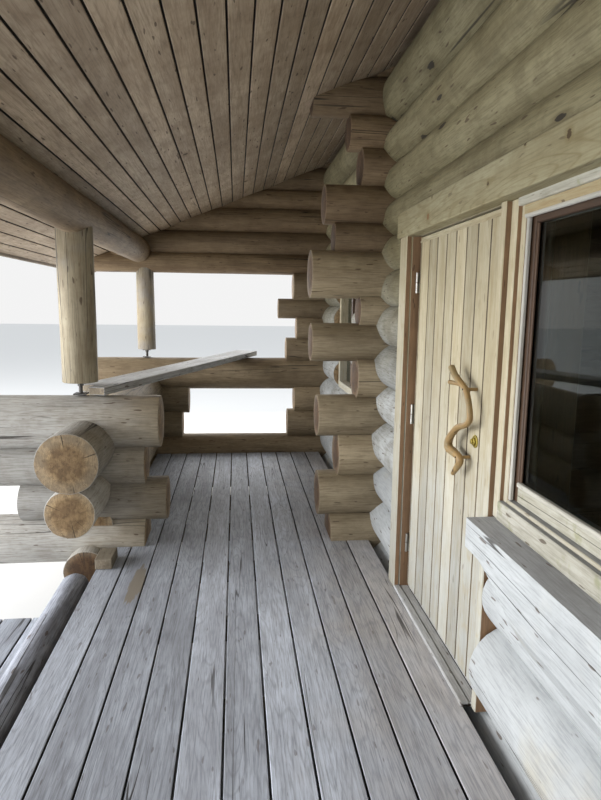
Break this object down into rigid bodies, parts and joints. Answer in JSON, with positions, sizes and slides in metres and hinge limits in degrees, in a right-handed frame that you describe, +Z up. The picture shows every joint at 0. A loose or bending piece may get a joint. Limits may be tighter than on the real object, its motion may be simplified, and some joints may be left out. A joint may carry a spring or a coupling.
{
  "type": "log cabin with covered veranda",
  "caption": "Round-log cabin with saddle-notched corners, a covered veranda with log rails, a plank deck and a hinged plank door beside a wide window, under a low gable roof.",
  "frame": {"origin": "on the ground under the middle of the building's bounding box", "axes": "+Z up, +Y along the ridge away from the entry end, +X from the veranda towards the back wall"},
  "size_m": [8.6108, 9.1, 4.2605],
  "materials": {
    "wall_logs": "pale weathered round pine log",
    "veranda_logs": "grey-tan weathered round pine log",
    "post_wood": "scraped round pine post",
    "weathered_wood": "grey weathered wood",
    "deck_wood": "grey weathered deck board",
    "soffit_wood": "aged tongue-and-groove board",
    "roofing": "mineral roofing felt",
    "planed_pine": "planed pine, pale oiled",
    "sash_wood": "brown stained sash",
    "floor_wood": "planed floor board",
    "branch_wood": "varnished bent branch",
    "brass": "satin brass",
    "bright_steel": "zinc plated steel",
    "dark_steel": "dark galvanised screw",
    "glass": "clear double glazing",
    "pier_block": "cast concrete block, matt"
  },
  "bodies": {
    "cabin": {"back_wall": "wall_logs", "barge_boards": "soffit_wood", "cabin_floor": "floor_wood", "corner_rail_logs": "veranda_logs", "cross_wall": "veranda_logs", "cross_wall_top": "veranda_logs", "deck_boards": "deck_wood", "deck_joists": "deck_wood", "door_casings": "planed_pine", "door_frame": "planed_pine", "eave_boards": "soffit_wood", "edge_log": "weathered_wood", "end_rail_stubs": "veranda_logs", "entry_landing": "deck_wood", "far_gable_top": "wall_logs", "far_gable_wall": "wall_logs", "floor_beams": "floor_wood", "front_wall_base": "wall_logs", "front_wall_far": "wall_logs", "front_wall_near": "wall_logs", "front_wall_top": "wall_logs", "header_board": "planed_pine", "hinge_jamb_halves": "bright_steel", "inner_doorway_lining": "planed_pine", "near_gable_top": "wall_logs", "near_gable_wall": "wall_logs", "pier_blocks": "pier_block", "post_screws": "dark_steel", "rail_plank": "weathered_wood", "ridge_cap": "roofing", "roof_core": "soffit_wood", "roof_felt": "roofing", "roof_purlins": "veranda_logs", "side_rail_logs": "veranda_logs", "small_window_frames": "planed_pine", "small_window_glass": "glass", "soffit_boards": "soffit_wood", "threshold": "deck_wood", "veranda_posts": "post_wood", "veranda_purlin": "veranda_logs", "veranda_sill_log": "weathered_wood", "wide_window_frame": "planed_pine", "wide_window_glass": "glass", "wide_window_sash": "sash_wood", "window_shelf_log": "wall_logs", "wood_block": "weathered_wood"},
    "door": {"door_leaf": "planed_pine", "door_handle": "branch_wood", "door_knob": "brass", "hinge_leaf_halves": "bright_steel"}
  },
  "joints": [
    {"name": "door_hinge", "type": "hinge", "parent": "cabin", "child": "door", "pos_m": [-1.28955, 0.5252, 1.41], "axis": [0, 0, -1], "range_deg": [0, 100]}
  ]
}
